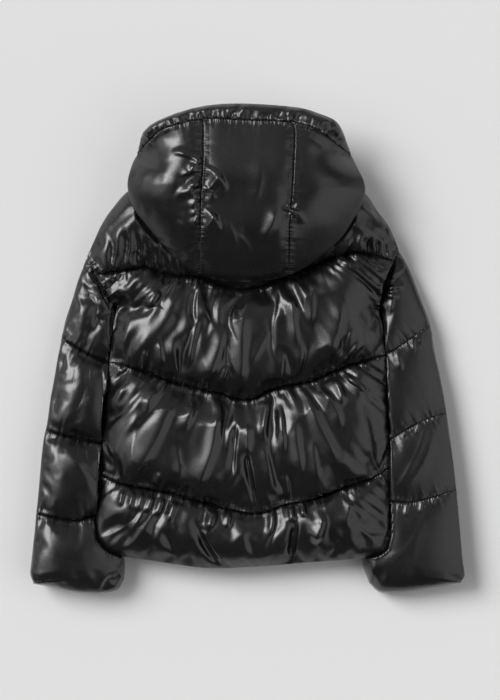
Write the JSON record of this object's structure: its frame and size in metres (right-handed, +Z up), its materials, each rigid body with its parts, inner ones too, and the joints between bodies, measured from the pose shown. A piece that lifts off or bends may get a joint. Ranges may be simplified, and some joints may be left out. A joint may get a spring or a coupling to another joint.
{
  "type": "hooded puffer jacket",
  "caption": "Glossy black hooded puffer jacket laid flat with its back up, chevron quilting, sleeves at its sides and a filled-out hood lying on the yoke.",
  "frame": {"origin": "middle of the outline of the laid-out jacket, on the surface under it", "axes": "+Y from the hem to the hood, +X to the wearer's right as it lies with its back up, +Z up from the surface"},
  "size_m": [0.7609, 0.8559, 0.1513],
  "materials": {
    "shell": "glossy coated nylon over padding",
    "zip": "satin"
  },
  "bodies": {
    "root": {"back_hem": "shell", "back_middle": "shell", "back_upper": "shell", "back_yoke": "shell", "front_left_hem": "shell", "front_left_middle": "shell", "front_left_upper": "shell", "front_left_yoke": "shell", "front_right_hem": "shell", "front_right_middle": "shell", "front_right_upper": "shell", "front_right_yoke": "shell", "front_zip": "zip", "hood_casing": "shell", "hood_center": "shell", "hood_lower_left": "shell", "hood_lower_right": "shell", "hood_side_left": "shell", "hood_side_right": "shell", "hood_under": "shell", "sleeve_left_under_1": "shell", "sleeve_left_under_2": "shell", "sleeve_left_under_3": "shell", "sleeve_left_under_4": "shell", "sleeve_left_upper_1": "shell", "sleeve_left_upper_2": "shell", "sleeve_left_upper_3": "shell", "sleeve_left_upper_4": "shell", "sleeve_right_under_1": "shell", "sleeve_right_under_2": "shell", "sleeve_right_under_3": "shell", "sleeve_right_under_4": "shell", "sleeve_right_upper_1": "shell", "sleeve_right_upper_2": "shell", "sleeve_right_upper_3": "shell", "sleeve_right_upper_4": "shell", "zip_slider": "zip"}
  },
  "joints": []
}
